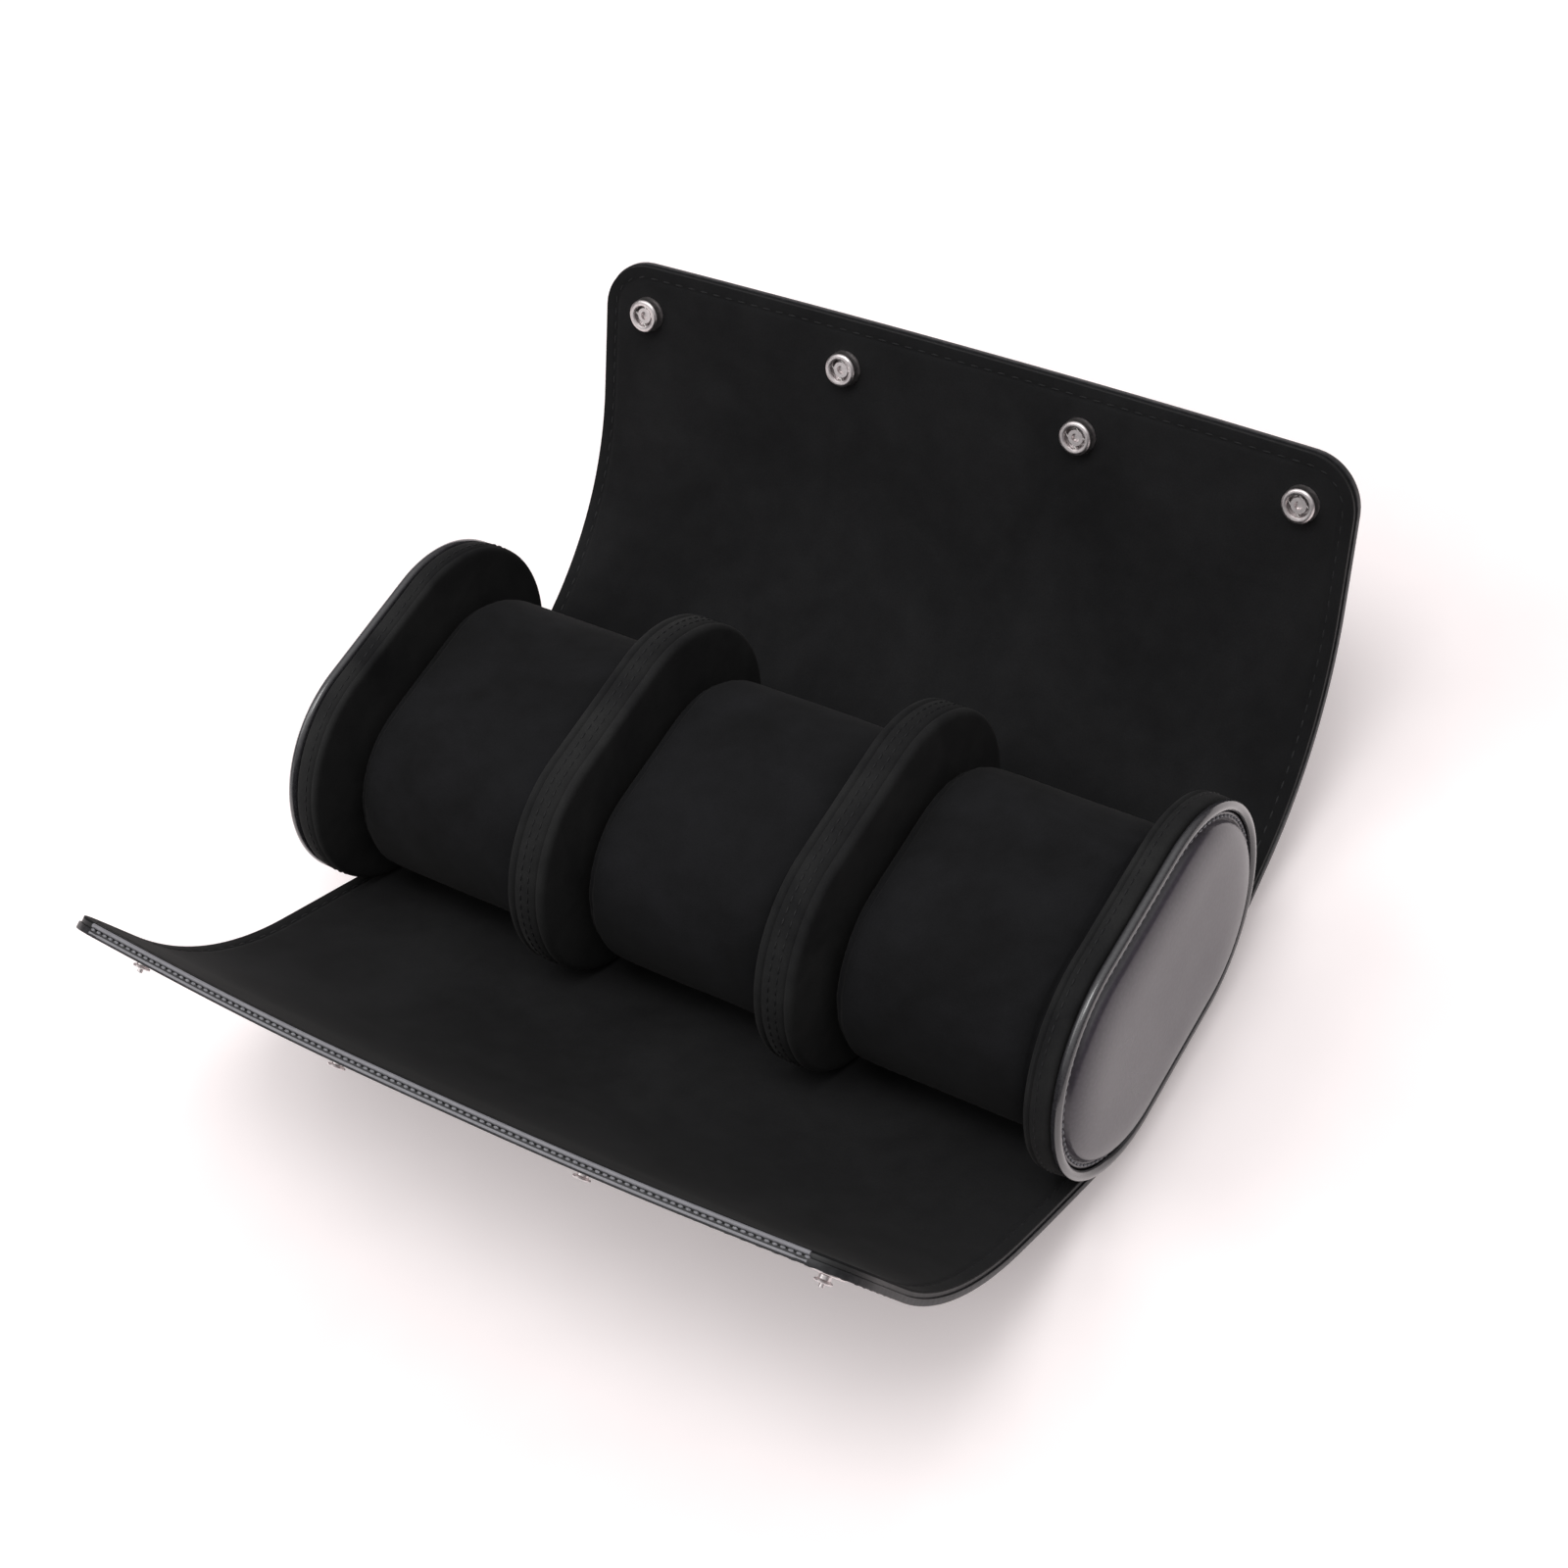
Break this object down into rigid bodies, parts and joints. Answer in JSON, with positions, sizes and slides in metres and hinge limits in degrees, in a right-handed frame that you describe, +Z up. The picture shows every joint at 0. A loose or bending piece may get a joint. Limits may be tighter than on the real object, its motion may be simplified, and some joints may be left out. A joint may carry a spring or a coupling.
{
  "type": "watch roll",
  "caption": "Open soft watch roll: leather cover with suede lining, racetrack end pads and dividers, lift-out cushions and snap fasteners.",
  "frame": {"origin": "on the flat underside of the cover, below the middle of the pads", "axes": "+X along the roll to the right-hand end, +Y to the rear flap, which holds the sockets, +Z up out of the open roll"},
  "size_m": [0.2118, 0.2228, 0.0894],
  "materials": {
    "cover_leather": "black grained PU leather, satin",
    "panel_leather": "smooth dark grey PU leather, satin",
    "piping_leather": "smooth PU leather welt, semi-gloss",
    "lining_suede": "black microsuede, brushed nap",
    "pad_suede": "black microsuede over board and foam",
    "cushion_suede": "black microsuede over foam",
    "nickel_plate": "nickel-plated pressed brass",
    "spring_steel": "spring steel wire"
  },
  "bodies": {
    "root": {"outer_cover": "cover_leather", "lining": "lining_suede", "end_pad_left": "pad_suede", "end_pad_right": "pad_suede", "end_face_left": "panel_leather", "end_face_right": "panel_leather", "end_piping_left": "piping_leather", "end_piping_right": "piping_leather", "divider_left": "pad_suede", "divider_right": "pad_suede", "cushion_left": "cushion_suede", "cushion_middle": "cushion_suede", "cushion_right": "cushion_suede", "snap_cap_1": "nickel_plate", "snap_socket_1": "nickel_plate", "snap_spring_1": "spring_steel", "snap_stud_1": "nickel_plate", "snap_post_1": "nickel_plate", "snap_cap_2": "nickel_plate", "snap_socket_2": "nickel_plate", "snap_spring_2": "spring_steel", "snap_stud_2": "nickel_plate", "snap_post_2": "nickel_plate", "snap_cap_3": "nickel_plate", "snap_socket_3": "nickel_plate", "snap_spring_3": "spring_steel", "snap_stud_3": "nickel_plate", "snap_post_3": "nickel_plate", "snap_cap_4": "nickel_plate", "snap_socket_4": "nickel_plate", "snap_spring_4": "spring_steel", "snap_stud_4": "nickel_plate", "snap_post_4": "nickel_plate"}
  },
  "joints": []
}
